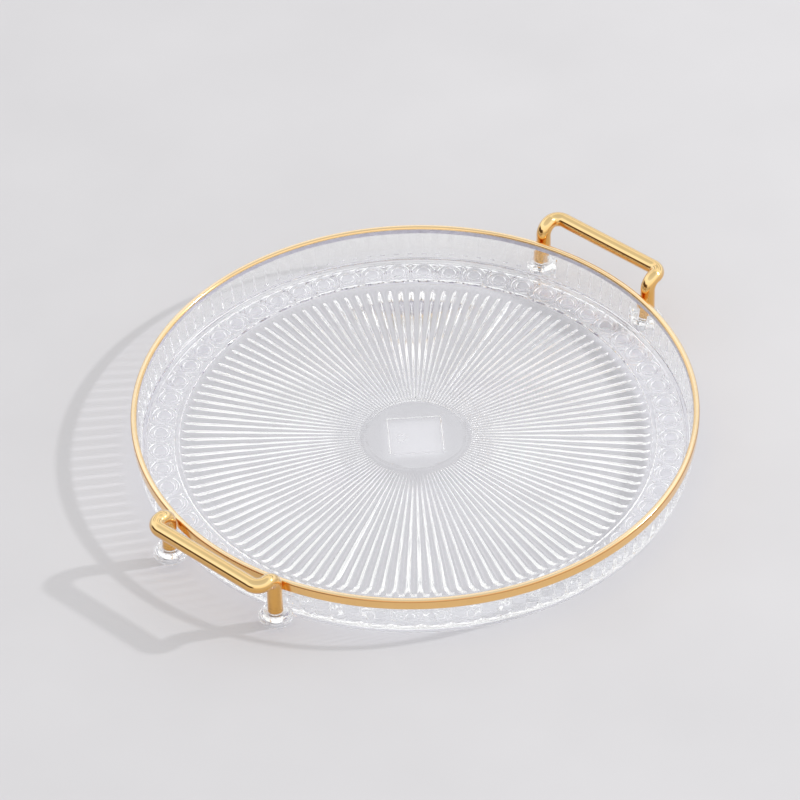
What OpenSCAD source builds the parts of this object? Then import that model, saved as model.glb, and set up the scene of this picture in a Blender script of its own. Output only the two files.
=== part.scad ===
// Round clear-plastic vanity tray with a gold rim band and two bent-rod handles.
// Origin: centre of the tray on the surface it stands on. +Z is up, the handles are on +X and -X.

/* [Tray] */
// Outside diameter over the rim band
tray_d = 300; // [240:1:400]
// Height from the standing surface to the top of the rim
tray_h = 26; // [21:1:40]
// Width of the top of the rim
rim_w = 3.3; // [2.8:0.1:4.5]
// Radius of the rim's rounded edges
rim_round = 1.1; // [0.6:0.1:1.3]
// How far the outside of the wall leans in, from the rim band down to the floor
wall_lean = 2.1; // [1:0.1:4]
// Thickness of the wall where it meets the floor
wall_t = 2.5; // [2:0.1:3.2]

/* [Floor] */
// Height of the floor's upper face
floor_z = 5; // [4:0.1:6.5]
// Thickness of the floor
floor_t = 2.6; // [2:0.1:3.2]
// How far the foot ring stands in from the foot of the wall
foot_inset = 1.5; // [0.5:0.1:2]
// Width of the foot ring
foot_w = 2.5; // [1.8:0.1:4]
// Width of the step along the foot of the wall
ledge_w = 2.5; // [1.5:0.1:4]
// Height of that step above the floor
ledge_h = 1.3; // [0.6:0.1:2]
// Width of the band that holds the coins
coin_band_w = 14.5; // [12:0.5:20]
// Number of coins round the band
coin_count = 60; // [30:1:72]
// Diameter of one coin
coin_d = 12.6; // [9:0.1:14]
// How far a coin stands down from the floor's underside
coin_h = 1; // [0.5:0.1:1.2]
// Width of the bead ring inside the coin band
bead_w = 3; // [2:0.1:4]
// Height of the bead ring above the floor
bead_h = 0.9; // [0.5:0.1:1.5]
// Diameter of the plain disc sunk in the middle of the floor
medal_d = 52; // [40:1:70]
// Depth of that disc
medal_depth = 0.5; // [0.2:0.1:0.8]
// Side of the square panel let into the underside of the disc
panel_side = 29; // [20:1:32]
// Depth of the square panel
panel_depth = 0.6; // [0.2:0.1:0.8]

/* [Rim band] */
// Height of the gold band on the outside of the rim
band_h = 5.5; // [3:0.1:8]
// Thickness of the band
band_t = 0.25; // [0.2:0.05:0.4]

/* [Handles] */
// Diameter of the handle rod
rod_d = 8; // [6:0.1:9.6]
// Distance between the two legs of a handle, centre to centre
leg_spacing = 73.2; // [56:0.1:100]
// Gap between the rim and a leg
leg_gap = 1; // [0.6:0.1:3]
// Height of the grip's centre above the rim
grip_rise = 6.6; // [5:0.1:14]
// Centre-line radius of the bends
bend_r = 5.5; // [5:0.1:8]
// Straight length between the two bends of an arm
arm_flat = 0.4; // [0.2:0.1:12]

/* [Lugs and screws] */
// Largest diameter of a lug
lug_d = 18; // [16:0.1:22]
// Height of a lug's underside above the standing surface
lug_z = 2.8; // [2.8:0.1:3.4]
// Height of a lug from its underside to its top
lug_h = 7.7; // [7:0.1:10]
// Depth of the socket that a leg stands in
socket_depth = 2.5; // [1.5:0.1:3]
// Radial clearance of a leg in its socket
socket_play = 0.1; // [0.05:0.05:0.3]
// Thickness of the plate under the socket, which the screw head bears on
lug_plate = 2; // [1.2:0.1:2.5]
// Wall round the hollow in a lug's underside, at the lug's foot
lug_wall = 1.3; // [1:0.1:2]
// Width of the web that ties a lug to the wall
web_w = 9; // [6:0.1:12]
// Screw thread diameter
screw_d = 4; // [3:0.1:4.8]
// Depth that the screw reaches into the leg
screw_reach = 8; // [6:0.1:10]
// Screw head diameter
screw_head_d = 7; // [6:0.1:8]
// Screw head height
screw_head_h = 2.2; // [1.8:0.1:2.4]

/* [Hidden] */
$fn = 96;

// Arc steps per quarter turn in the turned profiles
arc_steps = 5;
// How far a solid runs into the one it joins
bite = 0.4;
// Extra length on a cut so that it passes right through
over = 1;

// Rim and wall
rim_r = tray_d / 2;
rim_ri = rim_r - rim_w;
body_r = rim_r - band_t;
band_z = tray_h - band_h;
wall_ro = body_r - wall_lean;
wall_ri = wall_ro - wall_t;
foot_ro = wall_ro - foot_inset;
foot_ri = foot_ro - foot_w;
floor_under = floor_z - floor_t;

// Floor rings
ledge_ri = wall_ri - ledge_w;
coin_r = ledge_ri - coin_band_w / 2;
bead_r = ledge_ri - coin_band_w - bead_w / 2;

// Handle centre lines
leg_r = rim_r + leg_gap + rod_d / 2;
leg_y = leg_spacing / 2;
leg_x = sqrt(leg_r * leg_r - leg_y * leg_y);
grip_x = leg_x + 2 * bend_r + arm_flat;
grip_z = tray_h + grip_rise;
leg_angle = atan2(leg_y, leg_x);

// Lugs, from the bottom up
lug_top = lug_z + lug_h;
lug_foot_r = lug_d / 2 - 1.5;
lug_neck_r = rod_d / 2 + socket_play + 2.6;
lug_belly_lo = lug_z + 0.25 * lug_h;
lug_belly_hi = lug_z + 0.6 * lug_h;
socket_z = lug_top - socket_depth;
core_r = lug_foot_r - lug_wall;
core_top = socket_z - lug_plate;

// Screw fits
screw_hole_play = 0.25;
thread_play = 0.05;
tap_extra = 2;
recess_w = 1;
recess_len = 4;
recess_depth = 1.1;

// Every leg's place, as [side along X, side along Y]
LEGS = [for (sx = [-1, 1]) for (sy = [-1, 1]) [sx, sy]];

// Points along an arc about (cx, cy), from angle a0 to a1
function arc(cx, cy, r, a0, a1) =
    [for (i = [0 : arc_steps]) let (a = a0 + (a1 - a0) * i / arc_steps) [cx + r * cos(a), cy + r * sin(a)]];

// Rounded top of the rim, from outside to inside, at corner radius r
function rim_top(r) = concat(
    arc(rim_r - rim_round, tray_h - rim_round, r, 0, 90),
    arc(rim_ri + rim_round, tray_h - rim_round, r, 90, 180));

function reversed(v) = [for (i = [len(v) - 1 : -1 : 0]) v[i]];

// Section of the moulding from the centre out to the rim
module body_section() {
    polygon(concat(
        [[0, floor_under], [foot_ri, floor_under], [foot_ri, 0], [foot_ro, 0],
         [wall_ro, floor_z], [body_r, band_z]],
        rim_top(rim_round - band_t),
        [[rim_ri, tray_h - rim_round], [wall_ri, floor_z + ledge_h],
         [ledge_ri, floor_z + ledge_h], [ledge_ri, floor_z], [0, floor_z]]));
}

// Section of the half-round bead ring, sunk a little into the floor
module bead_section() {
    polygon([
        [bead_r - bead_w / 2, floor_z - bite],
        [bead_r + bead_w / 2, floor_z - bite],
        [bead_r + bead_w / 2, floor_z + bead_h / 3],
        [bead_r + bead_w / 4, floor_z + bead_h],
        [bead_r - bead_w / 4, floor_z + bead_h],
        [bead_r - bead_w / 2, floor_z + bead_h / 3]]);
}

// Turned lug that a handle leg stands in
module lug() {
    rotate_extrude()
        polygon([
            [0, lug_z], [lug_foot_r, lug_z], [lug_d / 2, lug_belly_lo],
            [lug_d / 2, lug_belly_hi], [lug_neck_r, lug_top], [0, lug_top]]);
}

// Web from the wall to the middle of a lug, along +X
module lug_web() {
    reach = leg_r - (wall_ri + bite);
    translate([-reach, -web_w / 2, lug_z + bite])
        cube([reach, web_w, lug_h - 2 * bite]);
}

// Places its child at one leg
module at_leg(leg) {
    translate([leg[0] * leg_x, leg[1] * leg_y, 0]) children();
}

// Places its child at one leg, turned so that +X points away from the tray's centre
module at_leg_turned(leg) {
    turn = leg[0] > 0 ? leg[1] * leg_angle : 180 - leg[1] * leg_angle;
    at_leg(leg) rotate([0, 0, turn]) children();
}

// Coins under the floor, all round
module coins() {
    for (i = [0 : coin_count - 1])
        rotate([0, 0, (i + 0.5) * 360 / coin_count])
            translate([coin_r, 0, floor_under - coin_h])
                cylinder(d = coin_d, h = coin_h + bite, $fn = 48);
}

// Clear moulding: floor, wall, foot ring and the four handle lugs
module tray_body() {
    color([0.88, 0.92, 0.95, 0.45])
        difference() {
            union() {
                rotate_extrude() body_section();
                rotate_extrude() bead_section();
                coins();
                for (leg = LEGS) {
                    at_leg(leg) lug();
                    at_leg_turned(leg) lug_web();
                }
            }
            translate([0, 0, floor_z - medal_depth])
                cylinder(d = medal_d, h = medal_depth + over);
            rotate([0, 0, 45])
                translate([-panel_side / 2, -panel_side / 2, floor_under - over])
                    cube([panel_side, panel_side, panel_depth + over]);
            for (leg = LEGS)
                at_leg(leg) {
                    translate([0, 0, socket_z])
                        cylinder(r = rod_d / 2 + socket_play, h = socket_depth + over);
                    translate([0, 0, lug_z - over])
                        cylinder(r = core_r, h = core_top - lug_z + over);
                    translate([0, 0, core_top - over])
                        cylinder(r = screw_d / 2 + screw_hole_play, h = lug_plate + 2 * over);
                }
        }
}

// Gold band over the top and the outside of the rim
module rim_band() {
    color([0.86, 0.66, 0.32])
        rotate_extrude()
            polygon(concat(
                [[rim_r, band_z]],
                rim_top(rim_round),
                reversed(rim_top(rim_round - band_t)),
                [[body_r, band_z]]));
}

// Quarter bend of the rod about Z, from +X round to +Y
module bend() {
    rotate_extrude(angle = 90)
        translate([bend_r, 0]) circle(d = rod_d);
}

// One leg, its two bends and its arm, on the +X +Y side
module handle_leg() {
    difference() {
        translate([leg_x, leg_y, socket_z])
            cylinder(d = rod_d, h = grip_z - bend_r - socket_z);
        translate([leg_x, leg_y, socket_z - over])
            cylinder(r = screw_d / 2 + thread_play, h = screw_reach + tap_extra + over);
    }
    translate([leg_x + bend_r, leg_y, grip_z - bend_r])
        rotate([90, 0, 0]) rotate([0, 0, 90]) bend();
    translate([leg_x + bend_r, leg_y, grip_z])
        rotate([0, 90, 0]) cylinder(d = rod_d, h = arm_flat);
    translate([grip_x - bend_r, leg_y - bend_r, grip_z]) bend();
}

// Whole handle on the +X side
module handle_right() {
    color([0.9, 0.72, 0.36]) {
        handle_leg();
        mirror([0, 1, 0]) handle_leg();
        translate([grip_x, 0, grip_z])
            rotate([90, 0, 0]) cylinder(d = rod_d, h = leg_spacing - 2 * bend_r, center = true);
    }
}

module handle_left() {
    rotate([0, 0, 180]) handle_right();
}

// Pan-head screw with a cross recess, head down, its bearing face at z = 0
module screw() {
    difference() {
        union() {
            translate([0, 0, -screw_head_h]) cylinder(d = screw_head_d, h = screw_head_h);
            cylinder(d = screw_d, h = lug_plate + screw_reach);
        }
        for (turn = [0, 90])
            rotate([0, 0, turn])
                translate([-recess_len / 2, -recess_w / 2, -screw_head_h - over])
                    cube([recess_len, recess_w, recess_depth + over]);
    }
}

// The four screws that hold the legs down, their heads up inside the hollows of the lugs
module handle_screws() {
    color([0.75, 0.75, 0.77])
        for (leg = LEGS)
            at_leg(leg) translate([0, 0, core_top]) screw();
}

tray_body();
rim_band();
handle_left();
handle_right();
handle_screws();
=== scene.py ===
import math
import bmesh
import bpy
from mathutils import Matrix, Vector


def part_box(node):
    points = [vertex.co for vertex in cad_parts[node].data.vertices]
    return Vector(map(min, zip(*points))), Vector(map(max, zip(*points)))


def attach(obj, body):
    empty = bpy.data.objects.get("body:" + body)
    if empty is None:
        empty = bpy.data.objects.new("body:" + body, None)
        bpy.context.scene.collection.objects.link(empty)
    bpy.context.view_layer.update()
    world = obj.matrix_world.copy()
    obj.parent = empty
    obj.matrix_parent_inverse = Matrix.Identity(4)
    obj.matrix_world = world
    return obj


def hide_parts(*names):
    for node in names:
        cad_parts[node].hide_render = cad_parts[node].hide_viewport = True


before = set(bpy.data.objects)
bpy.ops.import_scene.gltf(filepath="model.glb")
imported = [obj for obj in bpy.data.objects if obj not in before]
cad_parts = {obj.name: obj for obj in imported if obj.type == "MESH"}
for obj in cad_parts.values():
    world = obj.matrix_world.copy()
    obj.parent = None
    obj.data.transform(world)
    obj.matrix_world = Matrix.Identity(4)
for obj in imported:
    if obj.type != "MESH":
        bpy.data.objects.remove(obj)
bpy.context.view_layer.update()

# Clear vanity tray with a gold rim and two gold rod handles.
# Settings are in millimetres and degrees, and mm() turns them to Blender's metres.

mmPerMetre = 1000


def mm(value):
    return value / mmPerMetre


def inMm(value):  # a length in metres, given in mm
    return value * mmPerMetre


rimLow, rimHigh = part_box("rim_band")
rimR, trayH = inMm(rimHigh.x), inMm(rimHigh.z)


def srgb(text):  # "#rrggbb" to linear red, green, blue and alpha
    parts = [int(text[i:i + 2], 16) / 255 for i in (1, 3, 5)]
    return [c / 12.92 if c <= 0.04045 else ((c + 0.055) / 1.055) ** 2.4 for c in parts] + [1]


def polar(place):  # radius, angle and height of a place, in mm and degrees
    turn = math.degrees(math.atan2(place.y, place.x)) % 360
    return inMm(math.hypot(place.x, place.y)), turn, inMm(place.z)


def startPiece(name):  # the primitive just added becomes this piece, open for editing
    piece = bpy.context.object
    piece.name = name
    piece.data.name = name
    bpy.ops.object.transform_apply(location=True, rotation=True, scale=True)
    bpy.ops.object.mode_set(mode="EDIT")
    return piece


def clearSelection():  # back to object mode with nothing selected
    if bpy.context.mode != "OBJECT":
        bpy.ops.object.mode_set(mode="OBJECT")
    bpy.ops.object.select_all(action="DESELECT")


def solo(piece):  # back to object mode with only this piece selected
    clearSelection()
    piece.select_set(True)
    bpy.context.view_layer.objects.active = piece


selectModes = {"verts": "VERT", "edges": "EDGE", "faces": "FACE"}


def pick(piece, kind, test):  # selects the verts, edges or faces that pass the test
    bpy.ops.mesh.select_mode(type=selectModes[kind])
    bpy.ops.mesh.select_all(action="DESELECT")
    mesh = bmesh.from_edit_mesh(piece.data)
    for part in getattr(mesh, kind):
        if test(part):
            part.select_set(True)
    mesh.select_flush_mode()
    bmesh.update_edit_mesh(piece.data)


def nudge(piece, test, move):  # moves the vertices that pass the test, in mm
    pick(piece, "verts", test)
    bpy.ops.transform.translate(value=[mm(each) for each in move])


def drawSection(name, points):  # one vertex drawn out along (radius, height) points
    clearSelection()
    bpy.ops.mesh.primitive_plane_add(size=mm(1), location=(mm(points[0][0]), 0, mm(points[0][1])))
    piece = startPiece(name)
    bpy.ops.mesh.select_mode(type="VERT")
    bpy.ops.mesh.select_all(action="SELECT")
    bpy.ops.mesh.merge(type="CENTER")
    for last, point in zip(points, points[1:]):
        step = (mm(point[0] - last[0]), 0, mm(point[1] - last[1]))
        bpy.ops.mesh.extrude_region_move(TRANSFORM_OT_translate={"value": step})
    return piece


def roundedCorner(centre, radius, start, end, steps):  # points along a corner's arc
    turns = [math.radians(start + (end - start) * i / steps) for i in range(steps + 1)]
    return [(centre[0] + radius * math.cos(t), centre[1] + radius * math.sin(t)) for t in turns]


seamWeld = 0.005


def spinAll(steps):  # turns the whole section once round the Z axis and closes the seam
    bpy.ops.mesh.select_all(action="SELECT")
    bpy.ops.mesh.spin(steps=steps, angle=math.radians(360), center=(0, 0, 0), axis=(0, 0, 1))
    bpy.ops.mesh.select_all(action="SELECT")
    bpy.ops.mesh.remove_doubles(threshold=mm(seamWeld))
    bpy.ops.mesh.normals_make_consistent(inside=False)


def applyModifier(piece, kind, **settings):
    solo(piece)
    modifier = piece.modifiers.new(kind.title(), kind)
    for name, value in settings.items():
        setattr(modifier, name, value)
    bpy.ops.object.modifier_apply(modifier=modifier.name)


def smooth(piece, angle):
    solo(piece)
    bpy.ops.object.shade_smooth_by_angle(angle=math.radians(angle))


def addNode(tree, name, sockets=None, **settings):  # one node with its values and links
    node = tree.nodes.new("ShaderNode" + name)
    for key, value in settings.items():
        setattr(node, key, value)
    for key, value in (sockets or {}).items():
        named = [each for each in node.inputs if each.name == key and each.enabled]
        socket = named[0] if named else node.inputs[key]
        if isinstance(value, bpy.types.NodeSocket):
            tree.links.new(value, socket)
        else:
            socket.default_value = value
    return node


def setRamp(ramp, stops):  # the places and colours of a colour ramp
    elements = ramp.color_ramp.elements
    while len(elements) < len(stops):
        elements.new(1.0)
    for element, (place, colour) in zip(elements, stops):
        element.position = place
        element.color = srgb(colour)


def startMaterial(name):
    material = bpy.data.materials.new(name)
    material.use_nodes = True
    material.node_tree.nodes.clear()
    return material, material.node_tree


print("camera, lights and floor")
view = {
    "lens": 200,
    "distance": 2360,
    "azimuth": -48.0,
    "elevation": 41.4,
    "roll": -1.5,
    "aim": (5.4, 15.3, 16.2),
    "nearest": 50,
    "farthest": 50000,
}


def addCamera():
    turn, rise = math.radians(view["azimuth"]), math.radians(view["elevation"])
    level = math.cos(rise)
    back = Vector((math.sin(turn) * level, -math.cos(turn) * level, math.sin(rise)))
    aim = Vector([mm(each) for each in view["aim"]])
    bpy.ops.object.camera_add(
        location=aim + back * mm(view["distance"]), rotation=(math.radians(90) - rise, 0, turn))
    camera = bpy.context.object
    camera.rotation_euler.rotate_axis("Z", math.radians(view["roll"]))
    camera.data.lens = view["lens"]
    camera.data.clip_start = mm(view["nearest"])
    camera.data.clip_end = mm(view["farthest"])
    bpy.context.scene.camera = camera


studio = {
    "keyDirection": (0.655, -0.566, 0.58),
    "keyDistance": 2500,
    "keySize": 110,
    "keyWatts": 23.0,
    "skyStrength": 1.33,
    "darkSide": (-0.90, 0.43, 0),  # a dark doorway low in the room
    "gapSide": (0.82, 0.57, 0),    # a gap between two softboxes
    "floorSize": 12000,
    "floorCuts": 3,
}


def addLights():
    key = Vector(studio["keyDirection"]).normalized()
    bpy.ops.object.light_add(type="AREA", location=key * mm(studio["keyDistance"]))
    lamp = bpy.context.object
    lamp.rotation_euler = key.to_track_quat("Z", "Y").to_euler()
    lamp.data.shape = "DISK"
    lamp.data.size = mm(studio["keySize"])
    lamp.data.energy = studio["keyWatts"]

    world = bpy.data.worlds.new("softStudio")
    bpy.context.scene.world = world
    world.use_nodes = True
    tree = world.node_tree
    tree.nodes.clear()
    place = addNode(tree, "TexCoord")
    split = addNode(tree, "SeparateXYZ", {"Vector": place.outputs["Object"]})
    # pale walls, brighter softboxes half way up, a dimmer ceiling
    dome = addNode(tree, "ValToRGB", {"Fac": split.outputs["Z"]})
    setRamp(dome, (
        (0.0, "#cacaca"), (0.28, "#fafafa"), (0.72, "#fafafa"), (0.85, "#d0d0d1"), (1.0, "#cccccd")))
    toGap = addNode(tree, "VectorMath", {0: place.outputs["Object"], 1: studio["gapSide"]},
                    operation="DOT_PRODUCT")
    gapSide = addNode(tree, "MapRange", {
        "Value": toGap.outputs["Value"], "From Min": 0.45, "From Max": 0.65},
        interpolation_type="SMOOTHSTEP")
    gap = addNode(tree, "ValToRGB", {"Fac": split.outputs["Z"]})
    setRamp(gap, (
        (0.36, "#ffffff"), (0.39, "#a19c96"), (0.47, "#a19c96"), (0.5, "#ffffff"),
        (0.6, "#ffffff"), (0.63, "#b4b0ab"), (0.67, "#ffffff")))
    softbox = addNode(tree, "Mix", {
        "Factor": gapSide.outputs["Result"], "A": dome.outputs["Color"], "B": gap.outputs["Color"]},
        data_type="RGBA", blend_type="MULTIPLY")
    toDark = addNode(tree, "VectorMath", {0: place.outputs["Object"], 1: studio["darkSide"]},
                     operation="DOT_PRODUCT")
    side = addNode(tree, "MapRange", {
        "Value": toDark.outputs["Value"], "From Min": 0.62, "From Max": 0.84},
        interpolation_type="SMOOTHSTEP")
    low = addNode(tree, "MapRange", {
        "Value": split.outputs["Z"], "From Min": 0.3, "From Max": 0.42, "To Min": 0.97, "To Max": 0.0},
        interpolation_type="SMOOTHSTEP")
    doorway = addNode(tree, "Math", {0: side.outputs["Result"], 1: low.outputs["Result"]},
                      operation="MULTIPLY")
    room = addNode(tree, "Mix", {
        "Factor": doorway.outputs["Value"], "A": softbox.outputs["Result"], "B": srgb("#4a3520")},
        data_type="RGBA")
    sky = addNode(tree, "Background", {
        "Color": room.outputs["Result"], "Strength": studio["skyStrength"]})
    addNode(tree, "OutputWorld", {"Surface": sky.outputs["Background"]})


# Painted studio board: matte, pale, with a faint roller mottle.
def matteFloor():
    material, tree = startMaterial("mattePaleBoard")
    place = addNode(tree, "TexCoord")
    mottle = addNode(tree, "TexNoise", {"Vector": place.outputs["Object"], "Scale": 9.0, "Detail": 3.0})
    tint = addNode(tree, "ValToRGB", {"Fac": mottle.outputs["Fac"]})
    setRamp(tint, ((0.3, "#c9c8ca"), (0.7, "#cdccce")))
    board = addNode(tree, "BsdfPrincipled", {
        "Base Color": tint.outputs["Color"], "Roughness": 0.75, "Specular IOR Level": 0.3})
    addNode(tree, "OutputMaterial", {"Surface": board.outputs["BSDF"]})
    return material


def addFloor():
    clearSelection()
    bpy.ops.mesh.primitive_plane_add(size=mm(studio["floorSize"]))
    floor = startPiece("floor")
    bpy.ops.mesh.subdivide(number_cuts=studio["floorCuts"])
    solo(floor)
    floor.data.materials.append(matteFloor())


addCamera()
addLights()
addFloor()

print("finishes")


# Crystal polystyrene, injection moulded in a polished tool: glass-clear, with a hard gloss.
# Light from the lamp and the room passes straight through it to what is under it, and the
# reeds and ribs gather that light into stripes.
def clearPlastic():
    material, tree = startMaterial("mouldedClearPolystyrene")
    place = addNode(tree, "TexCoord")
    flow = addNode(tree, "TexNoise", {"Vector": place.outputs["Object"], "Scale": 60.0, "Detail": 2.0})
    gloss = addNode(tree, "MapRange", {
        "Value": flow.outputs["Fac"], "From Min": 0.3, "From Max": 0.7, "To Min": 0.01, "To Max": 0.04})
    ripple = addNode(tree, "Bump", {"Height": flow.outputs["Fac"], "Strength": 0.04, "Distance": mm(0.4)})
    plastic = addNode(tree, "BsdfPrincipled", {
        "Base Color": srgb("#feffff"), "Roughness": gloss.outputs["Result"], "IOR": 1.59,
        "Transmission Weight": 1.0, "Normal": ripple.outputs["Normal"]})
    # stripes: bright under the crest of each reed or rib, a little darker between
    split = addNode(tree, "SeparateXYZ", {"Vector": place.outputs["Object"]})
    angle = addNode(tree, "Math", {0: split.outputs["Y"], 1: split.outputs["X"]}, operation="ARCTAN2")
    reedsPerRadian = tray["sectors"] / math.pi
    count = addNode(tree, "Math", {0: angle.outputs["Value"], 1: reedsPerRadian}, operation="MULTIPLY")
    part = addNode(tree, "Math", {0: count.outputs["Value"]}, operation="FRACT")
    offset = addNode(tree, "Math", {0: part.outputs["Value"], 1: 0.5}, operation="SUBTRACT")
    across = addNode(tree, "Math", {0: offset.outputs["Value"]}, operation="ABSOLUTE")
    underReeds = addNode(tree, "MapRange", {
        "Value": across.outputs["Value"], "From Min": 0.12, "From Max": 0.26,
        "To Min": 0.93, "To Max": 0.77}, interpolation_type="SMOOTHSTEP")
    behindRibs = addNode(tree, "MapRange", {
        "Value": across.outputs["Value"], "From Min": 0.08, "From Max": 0.22,
        "To Min": 1.22, "To Max": 0.88}, interpolation_type="SMOOTHSTEP")
    # less light gets through where it grazes the surface
    graze = addNode(tree, "LayerWeight", {"Blend": 0.5})
    veil = addNode(tree, "ValToRGB", {"Fac": graze.outputs["Facing"]})
    setRamp(veil, ((0.3, "#fdfdff"), (0.85, "#f6f6f8"), (1.0, "#c8c8cc")))
    radius = addNode(tree, "VectorMath", {0: place.outputs["Object"]}, operation="LENGTH")
    under = addNode(tree, "Math", {0: split.outputs["Z"], 1: mm(tray["undersideTop"])},
                    operation="LESS_THAN")
    inner = addNode(tree, "Math", {0: radius.outputs["Value"], 1: mm(tray["reedOut"])},
                    operation="LESS_THAN")
    reeds = addNode(tree, "Math", {0: under.outputs["Value"], 1: inner.outputs["Value"]},
                    operation="MULTIPLY")
    above = addNode(tree, "Math", {0: split.outputs["Z"], 1: mm(tray["panelLow"])},
                    operation="GREATER_THAN")
    within = addNode(tree, "Math", {0: radius.outputs["Value"], 1: mm(rimR + tray["lugsFrom"])},
                     operation="LESS_THAN")
    wall = addNode(tree, "Math", {0: above.outputs["Value"], 1: within.outputs["Value"]},
                   operation="MULTIPLY")
    belowFloor = addNode(tree, "Mix", {
        "Factor": reeds.outputs["Value"], "A": 1.03, "B": underReeds.outputs["Result"]},
        data_type="FLOAT")
    gather = addNode(tree, "Mix", {
        "Factor": wall.outputs["Value"], "A": belowFloor.outputs["Result"],
        "B": behindRibs.outputs["Result"]}, data_type="FLOAT")
    lit = addNode(tree, "VectorMath", {
        0: veil.outputs["Color"], "Scale": gather.outputs["Result"]}, operation="SCALE")
    through = addNode(tree, "BsdfTransparent", {"Color": lit.outputs["Vector"]})
    path = addNode(tree, "LightPath")
    lamps = addNode(tree, "MixShader", {
        "Fac": path.outputs["Is Shadow Ray"], 1: plastic.outputs["BSDF"], 2: through.outputs["BSDF"]})
    room = addNode(tree, "MixShader", {
        "Fac": path.outputs["Is Diffuse Ray"], 1: lamps.outputs["Shader"], 2: through.outputs["BSDF"]})
    addNode(tree, "OutputMaterial", {"Surface": room.outputs["Shader"]})
    return material


# Gold hot-stamping foil: a bright warm metal film under lacquer. Its colour is painted paler on
# the crest as a painted highlight, and darker on the rounded outer edge as painted shade.
def goldFoil():
    material, tree = startMaterial("hotStampedGoldFoil")
    place = addNode(tree, "TexCoord")
    cloud = addNode(tree, "TexNoise", {"Vector": place.outputs["Object"], "Scale": 45.0, "Detail": 4.0})
    shade = addNode(tree, "MapRange", {
        "Value": cloud.outputs["Fac"], "From Min": 0.3, "From Max": 0.7, "To Min": 0.95, "To Max": 1.0})
    # painted highlight and shade: the ramp below sets the colour by how far each face turns up, pale on
    # the crest, darker on the rounded outer edge
    facing = addNode(tree, "SeparateXYZ", {"Vector": place.outputs["Normal"]})
    film = addNode(tree, "ValToRGB", {"Fac": facing.outputs["Z"]})
    setRamp(film, (
        (0.1, "#fcca7e"), (0.4, "#c98c48"), (0.6, "#cd9450"), (0.85, "#f8dba8"), (1.0, "#fbe4bb")))
    turned = addNode(tree, "VectorMath", {0: place.outputs["Object"], 1: place.outputs["Normal"]},
                     operation="DOT_PRODUCT")
    outward = addNode(tree, "MapRange", {
        "Value": turned.outputs["Value"], "From Min": mm(-60), "From Max": mm(20)})
    # outward faces take this painted highlight and shade; faces turned in keep one even pale gold
    paintedFoilShading = addNode(tree, "Mix", {
        "Factor": outward.outputs["Result"], "A": srgb("#f1cc92"), "B": film.outputs["Color"]},
        data_type="RGBA")
    tint = addNode(tree, "VectorMath", {
        0: paintedFoilShading.outputs["Result"], "Scale": shade.outputs["Result"]}, operation="SCALE")
    gloss = addNode(tree, "MapRange", {
        "Value": cloud.outputs["Fac"], "From Min": 0.3, "From Max": 0.7, "To Min": 0.08, "To Max": 0.15})
    foil = addNode(tree, "BsdfPrincipled", {
        "Base Color": tint.outputs["Vector"], "Metallic": 1.0, "Roughness": gloss.outputs["Result"],
        "Coat Weight": 1.0, "Coat Roughness": 0.04})
    addNode(tree, "OutputMaterial", {"Surface": foil.outputs["BSDF"]})
    return material


# The foil's reverse, seen through the clear wall: an aluminised film, silver grey and satin.
def foilReverse():
    material, tree = startMaterial("aluminisedFoilReverse")
    place = addNode(tree, "TexCoord")
    cloud = addNode(tree, "TexNoise", {"Vector": place.outputs["Object"], "Scale": 30.0, "Detail": 3.0})
    tint = addNode(tree, "ValToRGB", {"Fac": cloud.outputs["Fac"]})
    setRamp(tint, ((0.3, "#d9d6e0"), (0.7, "#e3e0ea")))
    film = addNode(tree, "BsdfPrincipled", {
        "Base Color": tint.outputs["Color"], "Metallic": 0.3, "Roughness": 0.35})
    addNode(tree, "OutputMaterial", {"Surface": film.outputs["BSDF"]})
    return material


# Mirror gold plate over a buffed steel rod, lacquered: a deep clean gloss with soft buffing
# waves. Its colour is painted paler on the upward faces, a painted highlight, and deeper on the sides.
def goldPlate():
    material, tree = startMaterial("polishedGoldPlate")
    place = addNode(tree, "TexCoord")
    waves = addNode(tree, "TexNoise", {"Vector": place.outputs["Object"], "Scale": 120.0, "Detail": 2.0})
    gloss = addNode(tree, "MapRange", {
        "Value": waves.outputs["Fac"], "From Min": 0.3, "From Max": 0.7, "To Min": 0.03, "To Max": 0.07})
    ripple = addNode(tree, "Bump", {"Height": waves.outputs["Fac"], "Strength": 0.05, "Distance": mm(0.3)})
    facing = addNode(tree, "SeparateXYZ", {"Vector": place.outputs["Normal"]})
    # painted highlight: the gold is paler on faces turned up and deeper on the sides and underside
    paintedCrestSheen = addNode(tree, "ValToRGB", {"Fac": facing.outputs["Z"]})
    setRamp(paintedCrestSheen, ((0.0, "#f3b654"), (0.35, "#f2c070"), (0.75, "#f6d799"), (1.0, "#f2ce8b")))
    shade = addNode(tree, "MapRange", {
        "Value": waves.outputs["Fac"], "From Min": 0.3, "From Max": 0.7, "To Min": 0.89, "To Max": 0.94})
    tint = addNode(tree, "VectorMath", {
        0: paintedCrestSheen.outputs["Color"], "Scale": shade.outputs["Result"]}, operation="SCALE")
    plate = addNode(tree, "BsdfPrincipled", {
        "Base Color": tint.outputs["Vector"], "Metallic": 1.0, "Roughness": gloss.outputs["Result"],
        "Coat Weight": 1.0, "Coat Roughness": 0.03, "Normal": ripple.outputs["Normal"]})
    addNode(tree, "OutputMaterial", {"Surface": plate.outputs["BSDF"]})
    return material


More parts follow.
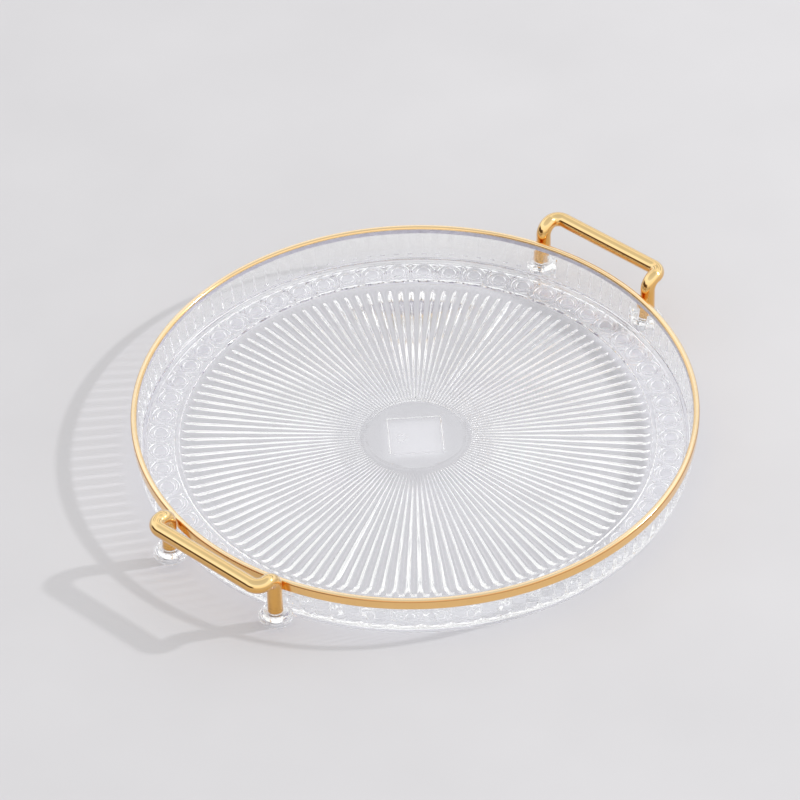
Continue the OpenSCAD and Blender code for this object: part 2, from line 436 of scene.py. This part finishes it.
# Bright zinc plate on a steel screw: bluish silver, a little blotchy from the bath.
def zincSteel():
    material, tree = startMaterial("zincPlatedSteel")
    place = addNode(tree, "TexCoord")
    blotch = addNode(tree, "TexNoise", {"Vector": place.outputs["Object"], "Scale": 400.0, "Detail": 3.0})
    tint = addNode(tree, "ValToRGB", {"Fac": blotch.outputs["Fac"]})
    setRamp(tint, ((0.3, "#b4b6bb"), (0.7, "#cfd2d8")))
    gloss = addNode(tree, "MapRange", {"Value": blotch.outputs["Fac"], "To Min": 0.22, "To Max": 0.42})
    steel = addNode(tree, "BsdfPrincipled", {
        "Base Color": tint.outputs["Color"], "Metallic": 1.0, "Roughness": gloss.outputs["Result"]})
    addNode(tree, "OutputMaterial", {"Surface": steel.outputs["BSDF"]})
    return material


print("clear moulding: one sector")
tray = {
    "sectors": 60,        # one coin, two floor reeds and two wall panels each
    "columns": 12,
    "underside": 2.4,
    "undersideTop": 3.0,  # all that is lower belongs to the underside
    "floorTop": 5.0,
    "plainRows": (90, 50),
    "discR": 26,          # plain disc in the middle
    "discSink": 0.35,
    # steps of the disc's edge, from the floor down: place outside discR, share of the sink
    "discLip": ((2.4, 0.2), (1.4, 0.8), (0.8, 0.2), (0, 1)),
    "reedIn": 29.6,       # where the reeds start and end
    "reedOut": 124.4,
    "reedRows": (31, 46, 62, 78, 94, 108, 116.5, 120, 122.6),
    "reedEnds": {120: 0.06, 122.6: 0.36},  # share of the crest that is gone near the round end
    "reedDepth": 1.45,    # at reedFullR, less towards the middle
    "reedFullR": 120,
    "reedRound": 1.6,     # 1 is a plain ridge, 2 a round one
    "coinIn": 128.2,      # band that holds the coins
    "coinOut": 142.6,
    "coinR": 6.7,
    # each ring's width and drop, from the edge in
    "coinRings": ((0.25, 0.55), (0.3, 0.45), (1.1, 0.2), (0.3, -0.5), (0.9, -0.1), (0.3, 0.5),
                  (1.2, 0.3), (1.0, 0.1)),
    # little ridges between neighbouring coins: from, to, drop
    "gapRidges": ((128.5, 130.0, 0.7), (130.0, 131.5, 0.35), (140.8, 142.4, 0.7), (139.5, 140.8, 0.35)),
    "footIn": 143.65,
    "footOut": 146.15,
    "footRound": 0.4,
    "wallFoot": (147.65, 5.0),
    "plainStrip": 0.5,    # below the ribs
    "panelLow": 6.8,
    "panelHigh": 19.8,
    "ribRunOut": 0.8,
    "ribDepth": 0.3,
    "grooveDepth": 0.35,  # more, right in the groove
    "outerFace": 147.2,   # what is further out is the wall's outside
    "lugsFrom": 1.5,      # what is this far outside the rim belongs to the lugs
    "bandZ": 20.5,
    "rimW": 3.3,
    "rimRound": 1.2,
    "lipDrop": 1.4,       # from the rim down to the band's inner edge
    "foilT": 0.25,
    "foilBite": 0.03,     # how far the rim reaches into the band
    "wallIn": 145.15,
    "wallRound": 0.5,
    "ledgeIn": 142.65,
    "ledgeZ": 6.3,
    "ledgeRound": 0.35,
    "cornerRound": 0.3,
    "beadR": 126.65,
    "beadW": 3.0,
    "beadH": 0.9,
    "beadSquash": 0.92,
    "beadTurns": (25, 50, 75, 105, 130, 155),
    "tiny": 0.1,          # slack for finding vertices by their place
    "weld": 0.01,
    "smoothAngle": 17,
}


def traySection():  # from the disc's underside out, over the rim and back in
    t = tray
    under, top = t["underside"], t["floorTop"]
    rows = [(r, under) for r in (t["discR"] - 1, t["reedIn"], *t["reedRows"], t["reedOut"])]
    coinStep = (t["coinOut"] - t["coinIn"]) / t["columns"]
    rows += [(t["coinIn"] + i * coinStep, under) for i in range(t["columns"] + 1)]
    small = t["footRound"]
    rows += roundedCorner((t["footIn"] - small, under - small), small, 90, 0, 2)
    rows += roundedCorner((t["footIn"] + small, small), small, 180, 270, 2)
    rows += roundedCorner((t["footOut"] - small, small), small, 270, 360, 2)
    bodyR = rimR - t["foilT"] + t["foilBite"]
    footR, footZ = t["wallFoot"]
    lean = (bodyR - footR) / (t["bandZ"] - footZ)
    heights = (t["panelLow"] - t["plainStrip"], t["panelLow"], t["panelLow"] + t["ribRunOut"],
               t["panelHigh"] - t["ribRunOut"], t["panelHigh"], t["bandZ"])
    rows += [t["wallFoot"]]
    rows += [(footR + (z - footZ) * lean, z) for z in heights]
    corner = t["rimRound"]
    rimIn = rimR - t["rimW"]
    cornerZ = trayH - t["foilT"] - corner
    rows += roundedCorner((bodyR - corner, cornerZ), corner, 0, 90, 3)
    rows += roundedCorner((rimIn + corner + t["foilBite"], cornerZ), corner, 90, 180, 3)
    rows += [(rimIn, trayH - t["lipDrop"])]
    small = t["wallRound"]
    rows += roundedCorner((t["wallIn"] - small, t["ledgeZ"] + small), small, 0, -90, 3)
    small = t["ledgeRound"]
    rows += roundedCorner((t["ledgeIn"] + small, t["ledgeZ"] - small), small, 90, 180, 2)
    small = t["cornerRound"]
    rows += roundedCorner((t["ledgeIn"] - small, top + small), small, 0, -90, 2)
    half = t["beadW"] / 2
    rows += [(t["beadR"] + half, top)]
    for turn in t["beadTurns"]:
        across = half * t["beadSquash"] * math.cos(math.radians(turn))
        rows += [(t["beadR"] + across, top + t["beadH"] * math.sin(math.radians(turn)))]
    rows += [(t["beadR"] - half, top)]
    rows += [(r, top) for r in (*t["plainRows"], t["reedIn"])]
    rows += [(t["discR"] + out, top - t["discSink"] * share) for out, share in t["discLip"]]
    rows += [(t["discR"] - 1, top - t["discSink"])]
    return rows


def columnOf(vert):  # which column of its sector a vertex stands on
    span = 360 / tray["sectors"]
    return round(polar(vert.co)[1] % 360 / span * tray["columns"])


def reedShape(column):  # height of a reed across its width, 0 in the groove and 1 on the crest
    half = tray["columns"] / 4
    across = abs(column % (2 * half) - half) / half
    return 1 - across ** tray["reedRound"]


def onUnderside(vert):
    return inMm(vert.co.z) < tray["undersideTop"]


def raiseReeds(piece):
    t = tray
    for row in t["reedRows"]:
        for column in range(t["columns"] + 1):
            shape = max(0, reedShape(column) - t["reedEnds"].get(row, 0))
            depth = t["reedDepth"] * shape * row / t["reedFullR"]
            if depth:
                nudge(piece, lambda v: abs(polar(v.co)[0] - row) < t["tiny"] and onUnderside(v)
                      and columnOf(v) == column, (0, 0, -depth))


def onPanel(vert, outer):  # on the outside of the wall, between the panels' two ends
    radius, _, height = polar(vert.co)
    low, high = tray["panelLow"] + tray["tiny"], tray["panelHigh"] - tray["tiny"]
    return low < height < high and radius > outer


def raiseRibs(piece):  # the wall's shallow upright ribs, by drawing the grooves between them in
    t = tray
    span = 360 / t["sectors"]
    outer = t["outerFace"]
    for column in range(t["columns"] + 1):
        depth = t["ribDepth"] * (1 - reedShape(column))
        if reedShape(column) == 0:
            depth += t["grooveDepth"]
        angle = math.radians(column * span / t["columns"])
        nudge(piece, lambda v: onPanel(v, outer) and columnOf(v) == column,
              (-depth * math.cos(angle), -depth * math.sin(angle), 0))
    drawnIn = outer - t["ribDepth"] - t["grooveDepth"]
    pick(piece, "edges", lambda e: all(
        onPanel(v, drawnIn) and columnOf(v) % (t["columns"] // 2) == 0 for v in e.verts))
    bpy.ops.mesh.mark_sharp()


def setCoin(piece):  # a domed coin with a ring groove, let into the underside of the band
    t = tray
    span = 360 / t["sectors"]
    tiny = t["tiny"]

    def inBand(vert):
        return t["coinIn"] + tiny < polar(vert.co)[0] < t["coinOut"] - tiny and onUnderside(vert)

    def onSeam(vert):  # on either side of the sector
        return not tiny < polar(vert.co)[1] < span - tiny

    pick(piece, "verts", lambda v: inBand(v) and not onSeam(v))
    bpy.ops.mesh.delete(type="VERT")
    middle = (t["coinIn"] + t["coinOut"]) / 2
    turn = math.radians(span / 2)
    centre = Vector((mm(middle) * math.cos(turn), mm(middle) * math.sin(turn), mm(t["underside"])))
    bpy.ops.mesh.primitive_circle_add(
        vertices=4 * t["columns"], radius=mm(t["coinR"]), fill_type="NGON", location=centre,
        rotation=(0, 0, turn))
    for width, drop in t["coinRings"]:
        bpy.ops.mesh.inset(thickness=mm(width), use_boundary=True)
        bpy.ops.transform.translate(value=(0, 0, -mm(drop)))

    def onCoinEdge(edge):
        inside = all((v.co - centre).length < mm(t["coinR"] + tiny / 10) for v in edge.verts)
        return inside and edge.is_boundary

    def onBandEdge(edge):  # along the inner or the outer edge of the coin band
        radii = [polar(v.co)[0] for v in edge.verts]
        near = [min(abs(r - t["coinIn"]), abs(r - t["coinOut"])) < tiny / 2 for r in radii]
        return all(near) and abs(radii[0] - radii[1]) < tiny and all(onUnderside(v) for v in edge.verts)

    pick(piece, "edges", lambda e: onCoinEdge(e) or onBandEdge(e) or e.is_wire)
    bpy.ops.mesh.bridge_edge_loops()
    for low, high, drop in t["gapRidges"]:
        nudge(piece, lambda v: inBand(v) and onSeam(v) and low < polar(v.co)[0] < high, (0, 0, -drop))


def makeTray():
    t = tray
    span = 360 / t["sectors"]
    piece = drawSection("trayMoulding", traySection())
    bpy.ops.mesh.select_all(action="SELECT")
    bpy.ops.mesh.spin(steps=t["columns"], angle=-math.radians(span), center=(0, 0, 0), axis=(0, 0, 1))
    raiseReeds(piece)
    raiseRibs(piece)
    setCoin(piece)
    bpy.ops.mesh.select_all(action="SELECT")
    bpy.ops.mesh.normals_make_consistent(inside=False)

    print("clear moulding: all round")
    solo(piece)
    bpy.ops.object.empty_add(rotation=(0, 0, math.radians(span)))
    turner = bpy.context.object
    applyModifier(piece, "ARRAY", count=t["sectors"], use_relative_offset=False, use_object_offset=True,
                  offset_object=turner, use_merge_vertices=True, use_merge_vertices_cap=True,
                  merge_threshold=mm(t["weld"]))
    bpy.data.objects.remove(turner)
    solo(piece)
    bpy.ops.object.mode_set(mode="EDIT")
    bpy.ops.mesh.select_all(action="SELECT")
    bpy.ops.mesh.remove_doubles(threshold=mm(t["weld"]))
    pick(piece, "edges", lambda e: e.is_boundary)
    bpy.ops.mesh.fill_holes(sides=0)
    bpy.ops.mesh.select_all(action="SELECT")
    bpy.ops.mesh.normals_make_consistent(inside=False)
    openEdges = [e for e in bmesh.from_edit_mesh(piece.data).edges if not e.is_manifold]
    print("open edges", len(openEdges))
    return piece


trayMoulding = makeTray()

print("handle lugs")
lug = {
    "r": 9.0,
    "footR": 7.5,
    "footRound": 0.6,
    "bellyRound": 2.2,
    "bellyZ": 6.0,
    "neckR": 6.7,
    "neckRound": 0.5,
    "z": 2.8,
    "top": 10.5,
    "webW": 9.0,
    "webShort": 0.8,      # the web stays this much lower than the lug, top and bottom together
    "webIn": 0.6,         # how far the web's end stays inside the wall
    "rodR": 4.0,
    "socketR": 4.1,
    "socketZ": 7.9,       # 0.1 under the rod's end
    "socketRound": 0.4,
    "plate": 1.85,        # just clear of the screw head
    "coreR": 6.2,
    "coreFlare": 0.1,
    "coreRound": 0.6,
    "holeR": 2.25,
    "past": 1,            # cuts run this far past the faces
    "steps": 64,
}


def turnedSolid(name, points):  # a lathe-turned solid, closed on its axis
    part = drawSection(name, [(0, points[0][1]), *points, (0, points[-1][1])])
    spinAll(lug["steps"])
    return part


def lugBody(reach):  # barrel-shaped lug with its web towards the wall, along -X
    g = lug
    foot, belly, neck = g["footRound"], g["bellyRound"], g["neckRound"]
    profile = roundedCorner((g["footR"] - foot, g["z"] + foot), foot, 270, 330, 5)
    profile += roundedCorner((g["r"] - belly, g["bellyZ"]), belly, -35, 35, 6)
    profile += roundedCorner((g["neckR"] - neck, g["top"] - neck), neck, 20, 90, 6)
    part = turnedSolid("lug", profile)
    solo(part)
    bpy.ops.mesh.primitive_cube_add(size=1)
    web = startPiece("lugWeb")
    webH = g["top"] - g["z"] - g["webShort"]
    bpy.ops.mesh.select_all(action="SELECT")
    bpy.ops.transform.resize(value=(mm(reach), mm(g["webW"]), mm(webH)))
    bpy.ops.transform.translate(value=(mm(-reach / 2), 0, mm((g["top"] + g["z"]) / 2)))
    bpy.ops.mesh.normals_make_consistent(inside=False)
    combine(part, web, "UNION")
    return part


def lugHollow():  # socket above, screw hole through the plate, and the hollow below
    g = lug
    plateZ = g["socketZ"] - g["plate"]
    core, mouth = g["coreRound"], g["socketRound"]
    profile = [(g["coreR"] + g["coreFlare"], g["z"] - g["past"])]
    profile += roundedCorner((g["coreR"] - core, plateZ - core), core, 0, 90, 5)
    profile += [(g["holeR"], plateZ), (g["holeR"], g["socketZ"]), (g["socketR"], g["socketZ"])]
    profile += roundedCorner((g["socketR"] + mouth, g["top"] - mouth), mouth, 180, 90, 6)
    profile += [(g["socketR"] + mouth, g["top"] + g["past"])]
    return turnedSolid("lugHollow", profile)


def putAt(part, place, turn):  # turned about Z and put in its place, in mm
    solo(part)
    part.rotation_euler = (0, 0, turn)
    part.location = [mm(each) for each in place]
    bpy.ops.object.transform_apply(location=True, rotation=True, scale=True)


def combine(piece, other, operation):  # joins or cuts, and the other solid is used up
    applyModifier(piece, "BOOLEAN", object=other, operation=operation, solver="MANIFOLD")
    bpy.data.objects.remove(other)


def addLugs(piece):
    low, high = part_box("handle_right")
    legX, legY = inMm(low.x) + lug["rodR"], inMm(high.y) - lug["rodR"]
    legs = [(sideX * legX, sideY * legY) for sideX in (-1, 1) for sideY in (-1, 1)]
    reach = math.hypot(legX, legY) - tray["wallIn"] - lug["webIn"]
    for x, y in legs:
        part = lugBody(reach)
        putAt(part, (x, y, 0), math.atan2(y, x))
        combine(piece, part, "UNION")
    for x, y in legs:
        part = lugHollow()
        putAt(part, (x, y, 0), math.atan2(y, x))
        combine(piece, part, "DIFFERENCE")


addLugs(trayMoulding)

print("square panel and gate mark")
panel = {
    "side": 29,
    "turn": 45,
    "depth": 0.9,
    "bevel": 0.8,
    "bevelSteps": 3,
    "markAt": (-7.4, 3.4),
    "markR": 2.7,
    "markW": 0.7,
    "markDepth": 0.3,
    "markSteps": 48,
    "past": 0.5,  # the mark's cutter runs this far above the disc
}


def cutPanel(piece):
    clearSelection()
    bpy.ops.mesh.primitive_cube_add(size=1)
    cutter = startPiece("panelCutter")
    bpy.ops.mesh.select_all(action="SELECT")
    bpy.ops.transform.resize(value=(mm(panel["side"]), mm(panel["side"]), mm(2 * panel["depth"])))
    pick(cutter, "edges", lambda e: all(v.co.z > 0 for v in e.verts))
    bpy.ops.mesh.bevel(offset=mm(panel["bevel"]), segments=panel["bevelSteps"], affect="EDGES")
    putAt(cutter, (0, 0, tray["underside"]), math.radians(panel["turn"]))
    combine(piece, cutter, "DIFFERENCE")


def cutMark(piece):  # the round gate mark, a shallow ring in the disc
    top = tray["floorTop"] - tray["discSink"]
    high, low = top + panel["past"], top - panel["markDepth"]
    inR, outR = panel["markR"] - panel["markW"], panel["markR"]
    corners = [(inR, high), (inR, low), (outR, low), (outR, high), (inR, high)]
    cutter = drawSection("markCutter", corners)
    spinAll(panel["markSteps"])
    putAt(cutter, (*panel["markAt"], 0), 0)
    combine(piece, cutter, "DIFFERENCE")


cutPanel(trayMoulding)
cutMark(trayMoulding)
smooth(trayMoulding, tray["smoothAngle"])
trayMoulding.data.materials.clear()
trayMoulding.data.materials.append(clearPlastic())
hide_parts("tray_body")
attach(trayMoulding, "root")

print("gold rim band")
band = {
    "corner": 1.45,
    "steps": 360,
    "edge": 0.2,          # the cut edges of the foil, this wide, are gold
    "crest": 0.15,
    "steepest": 0.7,
    "smoothAngle": 40,
}


def makeBand():
    t = tray
    corner, inner = band["corner"], band["corner"] - t["foilT"]
    rimIn = rimR - t["rimW"]
    cornerZ = trayH - corner
    foot = (rimR, t["bandZ"])
    points = [foot]
    points += roundedCorner((rimR - corner, cornerZ), corner, 0, 90, 5)
    points += roundedCorner((rimIn + corner, cornerZ), corner, 90, 180, 5)
    points += roundedCorner((rimIn + corner, cornerZ), inner, 180, 90, 4)
    points += roundedCorner((rimR - corner, cornerZ), inner, 90, 0, 4)
    points += [(rimR - t["foilT"], t["bandZ"]), foot]
    piece = drawSection("rimBand", points)
    spinAll(band["steps"])
    piece.data.materials.append(goldFoil())
    piece.data.materials.append(foilReverse())

    def facesPlastic(face):  # the reverse looks down, or in at the wall
        radius, _, height = polar(face.calc_center_median())
        between = rimIn + band["edge"] < radius < rimR - band["edge"]
        return between and height < trayH - band["crest"] and face.normal.z < band["steepest"]

    pick(piece, "faces", facesPlastic)
    piece.active_material_index = 1
    bpy.ops.object.material_slot_assign()
    smooth(piece, band["smoothAngle"])
    return piece


rimBand = makeBand()
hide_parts("rim_band")
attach(rimBand, "root")

print("metal finishes")
plate, zinc = goldPlate(), zincSteel()
for name, finish in (("handle_left", plate), ("handle_right", plate), ("handle_screws", zinc)):
    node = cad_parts[name]
    node.data.materials.clear()
    node.data.materials.append(finish)

scene = bpy.context.scene
scene.cycles.max_bounces = 64
scene.cycles.glossy_bounces = 64
scene.cycles.transmission_bounces = 64
scene.cycles.transparent_max_bounces = 24
scene.view_settings.view_transform = "Standard"
scene.view_settings.look = "None"
